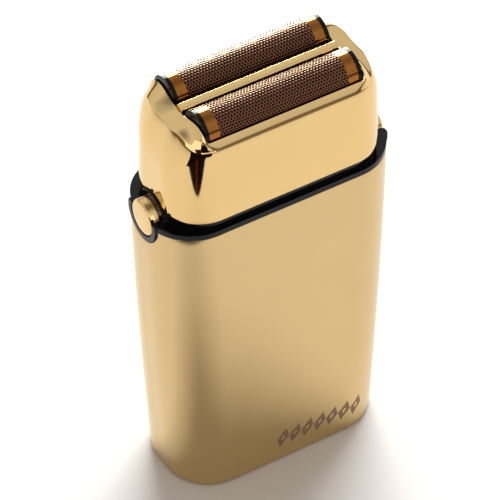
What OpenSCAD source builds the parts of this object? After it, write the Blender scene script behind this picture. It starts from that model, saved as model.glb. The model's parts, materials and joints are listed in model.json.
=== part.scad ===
// Cordless double-foil shaver, standing upright on its base.
// Origin at the centre of the base, +Z up, X along the foils, +Y towards the switch side.

/* [Body] */
// Width of the body at its top edge
body_w = 62; // [61.6:0.2:62.4]
// Depth of the body
body_d = 28; // [27.9:0.1:28.2]
// Height of the metal body, up to the collar
body_h = 84.5; // [84.4:0.1:84.6]
// How much narrower the body is at its base
base_taper = 6.2; // [6:0.1:6.3]
// Corner radius of the body's outline
body_corner = 12; // [11.8:0.1:12.2]
// Thickness of the metal wall
wall = 1.5; // [1.45:0.05:1.55]

/* [Collar] */
// Thickness of the collar's edge that shows
collar_edge = 1.5; // [1.4:0.1:1.6]
// Height of the recessed neck below the head
neck_h = 2.5; // [2.4:0.1:2.6]
// Radius of the round bezel that holds a release button
bezel_r = 6; // [5.9:0.1:6.1]
// Radius of a release button
button_r = 4.5; // [4.4:0.1:4.6]
// How far a release button travels
button_travel = 1.5; // [1.4:0.1:1.5]

/* [Head] */
// Width of the head shell at its base
head_w = 55.8; // [55.7:0.1:55.9]
// Depth of the head shell at its base
head_d = 27.4; // [27.3:0.1:27.5]
// Corner radius of the head shell's outline
head_corner = 10; // [9.8:0.1:10.2]
// Thickness of the head shell
head_wall = 1.2; // [1.15:0.05:1.25]
// Height of the rim beside the foils above the base
rim_z = 111.6; // [111.5:0.1:111.8]
// Height that a hump of the end cheek rises above the rim
hump_h = 2.7; // [2.6:0.1:2.9]
// Height that the saddle between the humps rises above the rim
saddle_h = 1; // [0.9:0.1:1.2]
// Half length of the opening for the foils
opening_x = 20.5; // [20.45:0.05:20.55]
// Half width of the opening for the foils
opening_y = 11.75; // [11.75:0.05:11.85]

/* [Foils] */
// Distance of each foil's axis from the middle of the head
foil_y = 6.8; // [6.75:0.05:6.8]
// Height of the foils' axes above the base
foil_z = 111.6; // [111.5:0.1:111.7]
// Outer radius of a foil's arch
foil_r = 4.7; // [4.65:0.05:4.75]
// Half length of a foil between its end caps
foil_x = 19.3; // [19.2:0.1:19.3]
// Thickness of the foil sheet
foil_t = 0.25; // [0.2:0.05:0.3]
// Number of steel blades in a cutter
blade_count = 26; // [20:1:28]

/* [Drive] */
// Throw of each eccentric lobe
throw = 1.2; // [1:0.1:1.2]
// Radius of an eccentric lobe
lobe_r = 2.8; // [2.7:0.1:2.8]
// Radius of a drive post
post_r = 2; // [1.9:0.1:2]
// Radius of the motor can
motor_r = 10; // [9.6:0.1:10]

/* [Hidden] */
$fn = 48;

// Heights that several pieces share
collar_top = body_h + collar_edge;
head_z = collar_top + neck_h;
spigot_top = 93.5;
liner_top = 105.3;
rail_z = 105;
// Clearance between pieces that slip together
slip = 0.15;
// Steps in each rounded corner of the lofted shells
corner_steps = 8;
// Fit of a shaft or screw in its hole
fit = 0.02;
// Button cups along X: bezel's inner end and floor, end of its raised half, inner end of a button
bezel_in = 22;
bezel_floor = 24;
bezel_upper = 28.3;
button_in = bezel_floor + button_travel + 0.2;
button_face = body_w / 2 + 0.1;
stem_r = 1.2;
latch_x = 19.6;
// Drive stack heights
motor_base = 47.5;
motor_top = 73.5;
mount_base = 73.7;
mount_top = 75.7;
front_lobe = 77.5;
rear_lobe = 80.3;
lobe_h = 2.4;
bridge_t = 2;
bridge_half = 8.3;
shoulder_z = 95.5;
holder_base = 103;
// Cutters: half length, and radius of the core under the blades
cutter_x = 17;
core_r = 3.2;
// Power slider and status lens on the +Y face
slider_z = 50;
slider_travel = 5;
led_z = 30;
// Charging socket
jack_mouth_r = 2;
jack_mouth = 3.2;
jack_r = 1.7;
jack_depth = 9;
// Battery and circuit board
cell_x = -17.2;
cell_y = -2;
cell_r = 7;
cell_z = 12;
cell_h = 50;
pcb_y = 8.8;
pcb_t = 1.2;
// Screw places
base_screw_x = 17;
collar_screw = [14.5, 6.5];
motor_screw_x = 6.5;
// Colours
gold = [0.86, 0.70, 0.42];
mirror_gold = [0.90, 0.74, 0.46];
black = [0.02, 0.02, 0.022];
steel = [0.70, 0.70, 0.72];
rubber = [0.06, 0.06, 0.06];

// ---- shapes that several pieces use ----

// Flat rounded rectangle with true arcs
module rounded_rect(w, d, r) {
    square([w - 2 * r, d], center = true);
    square([w, d - 2 * r], center = true);
    for (sx = [-1, 1], sy = [-1, 1])
        translate([sx * (w / 2 - r), sy * (d / 2 - r)]) circle(r);
}

// Upright slab with a rounded-rectangle outline
module slab(w, d, r, z0, z1) {
    translate([0, 0, z0]) linear_extrude(z1 - z0) rounded_rect(w, d, r);
}

// Rod along X between two places, on the axis of the release buttons
module x_rod(r, x0, x1) {
    translate([min(x0, x1), 0, body_h]) rotate([0, 90, 0]) cylinder(r = r, h = abs(x1 - x0));
}

// Upright cylinder on the Z axis between two heights
module cylinder_between(r, z0, z1) {
    translate([0, 0, z0]) cylinder(r = r, h = z1 - z0);
}

// Box given by two opposite corners
module block(a, b) {
    low = [min(a[0], b[0]), min(a[1], b[1]), min(a[2], b[2])];
    high = [max(a[0], b[0]), max(a[1], b[1]), max(a[2], b[2])];
    translate(low) cube(high - low);
}

// Flat shape in Y and Z, extruded along X between -half and half
module along_x(half) {
    rotate([90, 0, 90]) linear_extrude(2 * half, center = true) children();
}

// Points of a rounded rectangle at height z, anticlockwise from +X, with the same count for any
// size: long_steps and short_steps divide the straight sides that run along X and along Y
function outline(w, d, r, z, long_steps = 1, short_steps = 1) = [
    for (q = [0 : 3])
        let (sx = (q == 0 || q == 3) ? 1 : -1, sy = (q < 2) ? 1 : -1,
             cx = w / 2 - r, cy = d / 2 - r,
             steps = (q % 2 == 0) ? long_steps : short_steps,
             last = [sx * cx + r * cos(90 * q + 90), sy * cy + r * sin(90 * q + 90)],
             next = (q == 0) ? [-cx, d / 2] : (q == 1) ? [-w / 2, -cy]
                  : (q == 2) ? [cx, -d / 2] : [w / 2, cy])
        each concat(
            [for (s = [0 : corner_steps]) let (a = 90 * q + 90 * s / corner_steps)
                [sx * cx + r * cos(a), sy * cy + r * sin(a), z]],
            [for (s = [1 : 1 : steps - 1])
                [last[0] + (next[0] - last[0]) * s / steps,
                 last[1] + (next[1] - last[1]) * s / steps, z]])];

// Solid between rings of points: up the outside, then down the inside, and closed at the bottom
module ring_loft(rings) {
    n = len(rings[0]);
    m = len(rings);
    polyhedron(points = [for (ring = rings) each ring], faces = [
        for (k = [0 : m - 1], i = [0 : n - 1])
            let (a = k * n + i, b = k * n + (i + 1) % n,
                 c = ((k + 1) % m) * n + i, d = ((k + 1) % m) * n + (i + 1) % n)
            each [[a, d, b], [a, c, d]]]);
}

function unit(v) = v / norm(v);

// Round wire swept along a list of points, eight-sided, with closed ends
module wire(path, r) {
    sides = 8;
    n = len(path);
    ways = [for (i = [0 : n - 1]) unit(path[min(i + 1, n - 1)] - path[max(i - 1, 0)])];
    points = [for (i = [0 : n - 1], k = [0 : sides - 1])
        let (u = unit(cross(ways[i], [0.31, 0.17, 1])), v = cross(ways[i], u),
             a = 360 * k / sides)
        path[i] + r * (cos(a) * u + sin(a) * v)];
    walls = [for (i = [0 : n - 2], k = [0 : sides - 1])
        let (a = i * sides + k, b = i * sides + (k + 1) % sides)
        each [[a, b + sides, b], [a, a + sides, b + sides]]];
    ends = [[for (k = [0 : sides - 1]) k],
            [for (k = [sides - 1 : -1 : 0]) (n - 1) * sides + k]];
    polyhedron(points = points, faces = concat(ends, walls));
}

// Coil spring about +Z from height 0 to h
module coil(r, wire_r, h, turns) {
    steps = 12;
    rise = (h - 2 * wire_r) / (turns * steps);
    wire([for (i = [0 : turns * steps])
        [r * cos(360 * i / steps), r * sin(360 * i / steps), wire_r + rise * i]], wire_r);
}

// Cross-head screw pointing down, with the underside of its head at height 0
module screw(head_r, head_h, shank_r, length) {
    difference() {
        union() {
            cylinder(r = head_r, h = head_h);
            translate([0, 0, -length]) cylinder(r = shank_r, h = length + 0.01);
        }
        for (turn = [0, 90])
            rotate(turn) translate([-head_r * 0.6, -0.25, head_h * 0.5])
                cube([head_r * 1.2, 0.5, head_h]);
    }
}

// ---- body ----

function body_w_at(z) = body_w - base_taper * pow(1 - z / body_h, 1.6);
function body_ring(z, inset) =
    outline(body_w_at(z) - 2 * inset, body_d - 2 * inset, body_corner - inset, z);

module body_shell() {
    edge = 1.1;
    round_steps = 4;
    levels = [for (k = [1 : 8]) edge + (body_h - edge) * k / 8];
    rounding = [for (s = [0 : round_steps]) let (a = 90 * s / round_steps)
        body_ring(edge * (1 - sin(a)), edge * (1 - cos(90 - a)))];
    color(gold) difference() {
        ring_loft(concat(rounding, [for (z = levels) body_ring(z, 0)],
            [for (k = [7 : -1 : 0]) body_ring(levels[k], wall)], [body_ring(0, wall)]));
        // Round notches for the button bezels
        for (sx = [-1, 1]) x_rod(bezel_r + slip, sx * 25, sx * 35);
        // Slot behind the power slider and hole for the status lens
        block([-2.2, 10, slider_z - 5.2], [2.2, 20, slider_z + 5.2]);
        translate([0, 10, led_z]) rotate([-90, 0, 0]) cylinder(r = 1.2, h = 10);
    }
}

module base_cap() {
    w = body_w - base_taper - 2 * wall - 2 * slip;
    d = body_d - 2 * wall - 2 * slip;
    r = body_corner - wall - slip;
    color([0.05, 0.05, 0.055]) difference() {
        union() {
            slab(w, d, r, 0, 2.2);
            slab(w - 2, d - 2, r - 1, 2.2, 3.6);
        }
        slab(w - 5, d - 5, r - 2.5, 2.2, 4);
        translate([0, 0, -1]) cylinder(r = 3.1, h = 5);
        for (sx = [-1, 1]) translate([sx * base_screw_x, 0, 0]) {
            translate([0, 0, -1]) cylinder(r = 1.05, h = 6);
            translate([0, 0, -1]) cylinder(r = 2.1, h = 2.2);
        }
    }
}

module base_screws() {
    color(steel) for (sx = [-1, 1])
        translate([sx * base_screw_x, 0, 1.2]) rotate([180, 0, 0]) screw(1.9, 0.9, 1, 7.5);
}

// Socket that a charging plug enters from below
module charge_jack() {
    color([0.08, 0.08, 0.085]) difference() {
        union() {
            cylinder(r = 3, h = 2.4);
            translate([0, 0, 2.3]) cylinder(r = 3.6, h = 9.7);
        }
        translate([0, 0, -1]) cylinder(r = jack_mouth_r, h = jack_mouth + 1);
        translate([0, 0, -1]) cylinder(r = jack_r, h = jack_depth + 1);
        translate([0, 0, jack_depth - 1]) cylinder(r = 0.5, h = 4);
    }
}

module jack_pin() {
    color([0.80, 0.75, 0.60]) translate([0, 0, 3.5]) cylinder(r = 0.48, h = jack_depth);
}

// ---- collar, bezels and buttons ----

// Black cup for a release button: flush with the body below, raised on the head's end above
module bezel(sx) {
    intersection() {
        x_rod(bezel_r, sx * bezel_in, sx * (body_w / 2));
        union() {
            block([-bezel_upper, -10, collar_top - 0.1], [bezel_upper, 10, head_z + 5]);
            block([-body_w / 2, -10, 60], [body_w / 2, 10, collar_top]);
        }
    }
}

module top_collar() {
    skirt_w = body_w - 2 * wall - 2 * slip;
    skirt_d = body_d - 2 * wall - 2 * slip;
    skirt_r = body_corner - wall - slip;
    color(black) difference() {
        union() {
            slab(body_w, body_d, body_corner, body_h, collar_top);
            slab(head_w - 1.4, head_d - 1.4, head_corner - 0.7, collar_top - 0.1, head_z);
            slab(head_w - 3.3, head_d - 3.3, head_corner - 1.65, head_z - 0.1, spigot_top);
            difference() {
                slab(skirt_w, skirt_d, skirt_r, body_h - 4, body_h + 0.1);
                slab(skirt_w - 2.8, skirt_d - 2.8, skirt_r - 1.4, 70, body_h - 0.4);
            }
            for (sx = [-1, 1]) bezel(sx);
        }
        // Hair pocket inside the neck and spigot
        slab(43.4, head_d - 6.2, 5.2, collar_top, 100);
        // Button cups, stem holes and latch windows
        for (sx = [-1, 1]) {
            x_rod(button_r + slip, sx * bezel_floor, sx * 35);
            x_rod(stem_r + 0.1, sx * 16, sx * 28);
            block([sx * 17.8, -2.4, 80], [sx * 21.7, 2.4, 100]);
        }
        // Slots for the drive posts and holes for the collar screws
        for (sy = [-1, 1]) {
            translate([0, sy * foil_y, 80]) linear_extrude(12) rounded_rect(13, 6.4, 3.1);
            for (sx = [-1, 1])
                translate([sx * collar_screw[0], sy * collar_screw[1], 75]) cylinder(r = 1.1, h = 15);
        }
    }
}

module collar_screws() {
    color(steel) for (sx = [-1, 1], sy = [-1, 1])
        translate([sx * collar_screw[0], sy * collar_screw[1], collar_top]) screw(1.9, 0.9, 1, 8);
}

module neck_seal() {
    color(rubber) difference() {
        slab(head_w - 2.7, head_d - 2.7, head_corner - 1.35, spigot_top - 2.2, spigot_top - 1.1);
        slab(head_w - 3.28, head_d - 3.28, head_corner - 1.64, spigot_top - 3, spigot_top);
    }
}

// Lip seal with a slot that leaves room for a drive post's stroke
module post_seal(sy) {
    color(rubber) translate([0, sy * foil_y, 0]) difference() {
        union() {
            translate([0, 0, body_h - 0.4]) linear_extrude(2) rounded_rect(12.8, 6.2, 3);
            translate([0, 0, collar_top]) linear_extrude(0.8) rounded_rect(14.2, 7.2, 3.5);
        }
        translate([0, 0, body_h - 1]) linear_extrude(4) rounded_rect(7.4, 4.3, 2.14);
    }
}
module post_seal_front() { post_seal(-1); }
module post_seal_rear() { post_seal(1); }

// Button: a cup with its open end inwards, and a stem through the bezel's floor
module release_button(sx) {
    color(mirror_gold) {
        difference() {
            union() {
                x_rod(button_r, sx * button_in, sx * (button_face - 0.4));
                translate([sx * (button_face - 0.4), 0, body_h]) rotate([0, sx * 90, 0])
                    cylinder(r1 = button_r, r2 = button_r - 0.4, h = 0.4, $fn = 64);
            }
            x_rod(button_r - 0.9, sx * 20, sx * (button_face - 1.4));
        }
        x_rod(stem_r, sx * (latch_x + 1.4), sx * (button_face - 1));
    }
}
module release_button_left() { release_button(-1); }
module release_button_right() { release_button(1); }

module button_spring(sx) {
    color(steel) translate([sx * bezel_floor, 0, body_h]) rotate([0, sx * 90, 0])
        coil(2.4, 0.25, button_face - 1.4 - bezel_floor, 5);
}
module button_spring_left() { button_spring(-1); }
module button_spring_right() { button_spring(1); }

// Latch plate on the stem's end, with a nose beside the ledge of the head's liner
module latch(sx) {
    color([0.09, 0.09, 0.09]) {
        block([sx * latch_x, -2, body_h - 2], [sx * (latch_x + 1.4), 2, spigot_top + 2.5]);
        block([sx * (latch_x + 1.3), -2, spigot_top + 1.4], [sx * 22.5, 2, spigot_top + 2.5]);
    }
}
module latch_left() { latch(-1); }
module latch_right() { latch(1); }

// ---- head ----

// Height of the cheek's top edge across the head: two humps with a saddle between them
function cheek_top(y) =
    let (crest_y = 8.8,
         swing = pow(sin(90 * min(1, abs(y) / crest_y)), 2),
         fall = sqrt(max(0, 1 - pow(abs(y) / opening_y, 6))))
    rim_z + (saddle_h + (hump_h - saddle_h) * swing) * fall;

module head_frame() {
    long_steps = 4;
    short_steps = 18;
    round_steps = 6;
    draft = 0.2;
    outer = outline(head_w - 2 * draft, head_d - 2 * draft, head_corner, 0, long_steps, short_steps);
    inner = outline(2 * opening_x, 2 * opening_y, 0.5, 0, long_steps, short_steps);
    n = len(outer);
    // The rounding starts lower on the end cheeks than on the long walls
    ease = [for (p = outer) min(1, max(0, (12.6 - abs(p[1])) / 5.7))];
    top = [for (p = inner) rim_z + (abs(p[0]) > opening_x - 0.01 ? cheek_top(p[1]) - rim_z : 0)];
    start = [for (i = [0 : n - 1]) rim_z - 1.9 - 5.7 * ease[i]];
    rounding = [for (s = [0 : round_steps]) let (a = 90 * s / round_steps)
        [for (i = [0 : n - 1])
            [inner[i][0] + (outer[i][0] - inner[i][0]) * cos(a),
             inner[i][1] + (outer[i][1] - inner[i][1]) * cos(a),
             start[i] + (top[i] - start[i]) * sin(a)]]];
    color(mirror_gold) difference() {
        ring_loft(concat(
            [outline(head_w, head_d, head_corner, head_z, long_steps, short_steps)],
            rounding,
            [[for (p = inner) [p[0], p[1], rim_z - 2.5]]],
            [outline(head_w - 2 * head_wall, head_d - 2 * head_wall, head_corner - head_wall,
                rim_z - 6.1, long_steps, short_steps)],
            [outline(head_w - 2 * head_wall, head_d - 2 * head_wall, head_corner - head_wall,
                head_z, long_steps, short_steps)]));
        // Arches over the button bezels
        for (sx = [-1, 1]) x_rod(bezel_r + 0.1, sx * 24, sx * 32);
    }
}

module head_liner() {
    w = head_w - 2 * head_wall - 2 * slip;
    d = head_d - 2 * head_wall - 2 * slip;
    color([0.07, 0.07, 0.07]) difference() {
        slab(w, d, head_corner - head_wall - slip, spigot_top + 0.2, liner_top);
        block([-21.9, -11.6, 80], [21.9, 11.6, 110]);
        // Room for the foil carriers' rails above the long walls
        block([-21.9, -14, rail_z - 1.3], [21.9, 14, 110]);
        // Latch pockets above the ledges
        for (sx = [-1, 1]) {
            block([sx * 21, -3, 80], [sx * 22.6, 3, spigot_top + 4.5]);
            block([sx * 21, -3, spigot_top + 1.2], [sx * 24.2, 3, spigot_top + 4.5]);
        }
    }
}

module divider_bar() {
    half = 1.2;
    crown = rim_z + 2.1;
    color(mirror_gold) along_x(opening_x - 0.02) polygon([[-half, rim_z - 3.8], [half, rim_z - 3.8],
        [half, crown - 0.4], [half - 0.4, crown], [0.4 - half, crown], [-half, crown - 0.4]]);
}

// ---- foils and cutters ----

// Arch about the foil's axis: a half circle with legs down to a height
module arch(r, low) {
    translate([0, foil_z]) circle(r);
    translate([-r, low]) square([2 * r, foil_z - low]);
}

module foil(sy) {
    color([0.72, 0.50, 0.24]) translate([0, sy * foil_y, 0]) along_x(foil_x) difference() {
        arch(foil_r, rim_z - 5.1);
        arch(foil_r - foil_t, rim_z - 6);
    }
}
module foil_front() { foil(-1); }
module foil_rear() { foil(1); }

// Frame with an end cap at each end and rails outside the foil's legs
module foil_carrier(sy) {
    cap_r = foil_r + 0.1;
    cap_t = 1;
    half = foil_x + cap_t;
    color(black) translate([0, sy * foil_y, 0]) {
        for (sx = [-1, 1])
            translate([sx * (foil_x + cap_t / 2), 0, 0]) along_x(cap_t / 2) arch(cap_r, rail_z);
        for (side = [-1, 1])
            block([-half, side * foil_r, rail_z], [half, side * (foil_r + 0.4), rail_z + 2.6]);
    }
}
module foil_carrier_front() { foil_carrier(-1); }
module foil_carrier_rear() { foil_carrier(1); }

module cutter_blades(sy) {
    pitch = (2 * cutter_x - 1) / (blade_count - 1);
    color(steel) for (k = [0 : blade_count - 1])
        translate([-cutter_x + 0.5 + pitch * k, sy * foil_y, 0]) along_x(0.15) difference() {
            translate([0, foil_z]) circle(foil_r - foil_t - 0.1);
            arch(core_r, holder_base);
            translate([-10, foil_z - 12.6]) square([20, 10]);
        }
}
module cutter_blades_front() { cutter_blades(-1); }
module cutter_blades_rear() { cutter_blades(1); }

// Hollow arched core under the blades, with a base that slips over the drive post
module cutter_holder(sy) {
    color([0.10, 0.10, 0.11]) translate([0, sy * foil_y, 0]) difference() {
        along_x(cutter_x) difference() {
            arch(core_r, holder_base);
            arch(core_r - 0.9, holder_base + 2.5);
        }
        translate([0, 0, holder_base - 3]) cylinder(r = post_r + 0.1, h = 8);
    }
}
module cutter_holder_front() { cutter_holder(-1); }
module cutter_holder_rear() { cutter_holder(1); }

module cutter_spring(sy) {
    color(steel) translate([0, sy * foil_y, shoulder_z + 1])
        coil(2.75, 0.3, holder_base - shoulder_z - 1, 4);
}
module cutter_spring_front() { cutter_spring(-1); }
module cutter_spring_rear() { cutter_spring(1); }

// ---- drive ----

// Sliding yoke round one eccentric lobe, with the post that carries a cutter
module drive_bridge(sy, z) {
    slot_x = lobe_r + throw + 1.3;
    slot_y = lobe_r + throw + 0.15;
    color([0.90, 0.90, 0.86]) {
        difference() {
            block([-bridge_half, sy * 9.2, z], [bridge_half, -sy * 4.65, z + bridge_t]);
            translate([0, 0, z - 1]) linear_extrude(4) rounded_rect(2 * slot_x, 2 * slot_y, 1);
        }
        translate([0, sy * foil_y, z]) cylinder(r = post_r, h = holder_base + 2.3 - z);
        translate([0, sy * foil_y, shoulder_z]) cylinder(r = 3.5, h = 1);
    }
}
module drive_bridge_front() { drive_bridge(-1, front_lobe + 0.2); }
module drive_bridge_rear() { drive_bridge(1, rear_lobe + 0.2); }

// Thin steel leaves that stand on the motor mount and steer the yoke
module bridge_leaves(sy, z) {
    color(steel) for (sx = [-1, 1])
        block([sx * bridge_half, sy * 5.3, mount_top],
            [sx * (bridge_half + 0.25), sy * 9, z + bridge_t]);
}
module bridge_leaves_front() { bridge_leaves(-1, front_lobe + 0.2); }
module bridge_leaves_rear() { bridge_leaves(1, rear_lobe + 0.2); }

// Hub with two round lobes, half a turn apart
module eccentric_cam() {
    color([0.85, 0.85, 0.80]) difference() {
        union() {
            translate([0, 0, mount_top + 0.5]) cylinder(r = 3, h = front_lobe - mount_top - 0.5);
            translate([0, throw, front_lobe]) cylinder(r = lobe_r, h = lobe_h);
            cylinder_between(1.55, front_lobe, rear_lobe + lobe_h);
            translate([0, -throw, rear_lobe]) cylinder(r = lobe_r, h = lobe_h);
        }
        cylinder_between(1 + fit, 60, 90);
    }
}

module motor_shaft() {
    color(steel) cylinder_between(1, motor_base - 1.5, rear_lobe + lobe_h + 0.4);
}

module motor_can() {
    color([0.62, 0.62, 0.64]) difference() {
        union() {
            intersection() {
                cylinder_between(motor_r, motor_base, motor_top);
                block([-20, -7.7, 30], [20, 7.7, 80]);
            }
            cylinder_between(3, motor_top - 0.1, mount_top - 0.4);
        }
        cylinder_between(1.05, 30, 80);
        for (sx = [-1, 1])
            translate([sx * motor_screw_x, 0, motor_top - 4]) cylinder(r = 0.8 + fit, h = 10);
    }
}

module motor_end_cap() {
    color([0.75, 0.72, 0.62]) difference() {
        intersection() {
            cylinder_between(motor_r - 0.2, motor_base - 2, motor_base);
            block([-20, -7.5, 30], [20, 7.5, 80]);
        }
        cylinder_between(1.05, motor_base - 1.6, 80);
    }
}

module motor_terminals() {
    color([0.80, 0.62, 0.35]) for (sx = [-1, 1])
        block([sx * 4, -0.25, motor_base - 5], [sx * 6, 0.25, motor_base - 2]);
}

module motor_mount() {
    color([0.12, 0.12, 0.13]) difference() {
        union() {
            slab(52, 24.6, 8, mount_base, mount_top);
            for (sx = [-1, 1], sy = [-1, 1])
                translate([sx * collar_screw[0], sy * collar_screw[1], mount_top - 0.1])
                    cylinder(r = 2.4, h = body_h - 0.4 - mount_top);
        }
        cylinder_between(3.1, 70, 78);
        for (sx = [-1, 1]) {
            translate([sx * motor_screw_x, 0, 70]) cylinder(r = 0.9, h = 10);
            for (sy = [-1, 1])
                translate([sx * collar_screw[0], sy * collar_screw[1], mount_top + 2])
                    cylinder(r = 1 + fit, h = 10);
        }
    }
}

module motor_screws() {
    color(steel) for (sx = [-1, 1])
        translate([sx * motor_screw_x, 0, mount_top]) screw(1.7, 0.8, 0.8, 5);
}

// ---- inside the body ----

// Moulded carrier that holds the battery, the motor and the circuit board
module chassis() {
    color([0.10, 0.10, 0.11]) difference() {
        union() {
            slab(50.5, 24, 9.5, 4, 5.6);
            block([-16, -12.3, 4], [16, -11.1, mount_base]);
            for (sx = [-1, 1]) {
                block([sx * 24.6, -6, 4], [sx * 25.8, 6, mount_base]);
                block([sx * 17.5, 7.4, 5], [sx * 20.5, 11.1, 12]);
                translate([sx * base_screw_x, 0, 3.8]) cylinder(r = 2.6, h = 6);
            }
            // Ribs behind the motor and round the battery
            for (z = [51, 67]) block([-12, -11.2, z], [12, -7.8, z + 2]);
            for (z = [20, 54]) block([-21, -11.2, z], [-10.8, -4, z + 3]);
        }
        translate([0, 0, 3]) cylinder(r = 3.7, h = 4);
        for (sx = [-1, 1])
            translate([sx * base_screw_x, 0, 3]) cylinder(r = 1 + fit, h = 6);
        translate([cell_x, cell_y, 10]) cylinder(r = cell_r + 0.1, h = 60);
        block([-20.1, pcb_y - 0.1, 9.9], [20.1, pcb_y + pcb_t + 0.1, 80]);
    }
}

module battery_cell() {
    color([0.20, 0.45, 0.30]) translate([cell_x, cell_y, cell_z]) {
        cylinder(r = cell_r, h = cell_h - 1.5);
        cylinder(r = cell_r - 0.8, h = cell_h - 0.8);
        cylinder(r = 2.4, h = cell_h);
    }
}

module battery_tabs() {
    color([0.75, 0.74, 0.70]) {
        block([cell_x - 3, cell_y - 2, cell_z + cell_h], [cell_x + 4, cell_y + 2, cell_z + cell_h + 0.2]);
        block([cell_x - 3, cell_y - 2, cell_z - 0.2], [cell_x + 4, cell_y + 2, cell_z]);
    }
}

module battery_leads() {
    high = cell_z + cell_h;
    color([0.70, 0.10, 0.08]) {
        wire([[-14.5, -1, high + 0.75], [-14.3, 1, high + 1.2], [-14, 4, high + 1.2],
            [-13.5, 6.8, high], [-13, 7.8, high - 2.5], [-13, 8.2, high - 4]], 0.5);
        wire([[-14.2, -1, cell_z - 0.75], [-12.6, 1.5, cell_z - 1.2], [-12, 4.5, cell_z - 1],
            [-12, 7, cell_z + 0.8], [-12, 8.2, cell_z + 3], [-12, 8.25, cell_z + 5]], 0.5);
    }
}

module motor_leads() {
    color([0.12, 0.12, 0.13]) for (sx = [-1, 1])
        wire([[sx * 5, 0, motor_base - 5.55], [sx * 5.1, 1.6, 41.5], [sx * 5.4, 4, 40.7],
            [sx * 5.8, 6.4, 39.5], [sx * 6, 7.9, 37.9], [sx * 6, 8.25, 36.1]], 0.5);
}

module main_pcb() {
    color([0.05, 0.25, 0.14]) block([-20, pcb_y, 10], [20, pcb_y + pcb_t, 70]);
}

module pcb_chips() {
    front = pcb_y + pcb_t;
    color([0.08, 0.08, 0.08]) {
        block([6, front, 14], [12, front + 1.1, 20]);
        block([-14, front, 16], [-10, front + 1.1, 20]);
        block([9, front, 34], [13, front + 0.9, 37]);
        for (k = [0 : 3]) block([-12 + 3 * k, front, 25], [-11 + 3 * k, front + 0.6, 26.8]);
    }
}

module power_inductor() {
    color([0.25, 0.22, 0.20])
        translate([-13, pcb_y + pcb_t, 36]) rotate([-90, 0, 0]) cylinder(r = 2.6, h = 2);
}

module slide_switch() {
    front = pcb_y + pcb_t;
    color([0.72, 0.73, 0.75]) difference() {
        block([-3.5, front, slider_z - 6.5], [3.5, 12.3, slider_z + 6.5]);
        block([-1.6, front + 0.8, slider_z - 4.6], [1.6, 14, slider_z + 4.6]);
    }
}

// Thumb piece with raised ridges; its stem works the switch behind the body's wall
module power_slider() {
    half = 3.6;
    low = slider_z - slider_travel / 2;
    outside = body_d / 2 + 0.35;
    color(black) {
        translate([0, outside, low]) rotate([-90, 0, 0]) linear_extrude(0.9)
            rounded_rect(5.4, 2 * half, 1.4);
        for (k = [-2 : 2])
            translate([0, 0, low + 1.15 * k])
                block([-1.9, outside + 0.8, -0.25], [1.9, outside + 1.25, 0.25]);
        block([-1.4, 11.2, low - 1.6], [1.4, outside + 0.1, low + 1.6]);
    }
}

module slider_track() {
    face = body_d / 2;
    color([0.03, 0.03, 0.03]) difference() {
        translate([0, face, slider_z]) rotate([-90, 0, 0]) linear_extrude(0.3)
            rounded_rect(7.6, 15.4, 2);
        block([-1.5, face - 1, slider_z - 4.4], [1.5, face + 1, slider_z + 4.4]);
    }
}

module status_led() {
    color([0.95, 0.93, 0.80])
        translate([0, pcb_y + pcb_t, led_z]) rotate([-90, 0, 0]) cylinder(r = 1, h = 1.6);
}

module status_lens() {
    color([0.90, 0.90, 0.88])
        translate([0, 11.8, led_z]) rotate([-90, 0, 0]) cylinder(r = 1.1, h = body_d / 2 - 11.8);
}

body_shell();
base_cap();
base_screws();
charge_jack();
jack_pin();
top_collar();
collar_screws();
neck_seal();
post_seal_front();
post_seal_rear();
release_button_left();
release_button_right();
button_spring_left();
button_spring_right();
latch_left();
latch_right();
head_frame();
head_liner();
divider_bar();
foil_front();
foil_rear();
foil_carrier_front();
foil_carrier_rear();
cutter_blades_front();
cutter_blades_rear();
cutter_holder_front();
cutter_holder_rear();
cutter_spring_front();
cutter_spring_rear();
drive_bridge_front();
drive_bridge_rear();
bridge_leaves_front();
bridge_leaves_rear();
eccentric_cam();
motor_shaft();
motor_can();
motor_end_cap();
motor_terminals();
motor_mount();
motor_screws();
chassis();
battery_cell();
battery_tabs();
battery_leads();
motor_leads();
main_pcb();
pcb_chips();
power_inductor();
slide_switch();
power_slider();
slider_track();
status_led();
status_lens();
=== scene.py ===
"""Looks of a cordless double-foil shaver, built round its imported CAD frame.

Lengths are millimetres unless a name says otherwise, and meshes are scaled to metres when made.
The shaver stands on its base, X runs along the foils and the power slider is on its +Y face.
"""

import json
import math

import bmesh
import bpy
import numpy as np
from mathutils import Matrix, Vector


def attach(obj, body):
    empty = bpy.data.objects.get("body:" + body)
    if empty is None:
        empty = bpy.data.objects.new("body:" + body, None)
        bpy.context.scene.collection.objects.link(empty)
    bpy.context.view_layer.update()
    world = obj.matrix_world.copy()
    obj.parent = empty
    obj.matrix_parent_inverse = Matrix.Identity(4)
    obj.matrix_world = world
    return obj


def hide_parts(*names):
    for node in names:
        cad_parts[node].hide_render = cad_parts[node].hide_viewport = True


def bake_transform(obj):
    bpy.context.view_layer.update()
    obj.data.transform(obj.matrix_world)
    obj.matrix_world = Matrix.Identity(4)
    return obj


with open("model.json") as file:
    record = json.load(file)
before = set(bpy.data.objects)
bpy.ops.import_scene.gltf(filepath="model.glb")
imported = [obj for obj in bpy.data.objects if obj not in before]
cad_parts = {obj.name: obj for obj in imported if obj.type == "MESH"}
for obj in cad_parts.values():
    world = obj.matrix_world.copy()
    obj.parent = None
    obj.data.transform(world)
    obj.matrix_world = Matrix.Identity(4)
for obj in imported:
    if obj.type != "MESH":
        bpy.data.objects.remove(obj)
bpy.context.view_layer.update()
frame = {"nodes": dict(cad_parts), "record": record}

MM = 0.001

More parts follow.
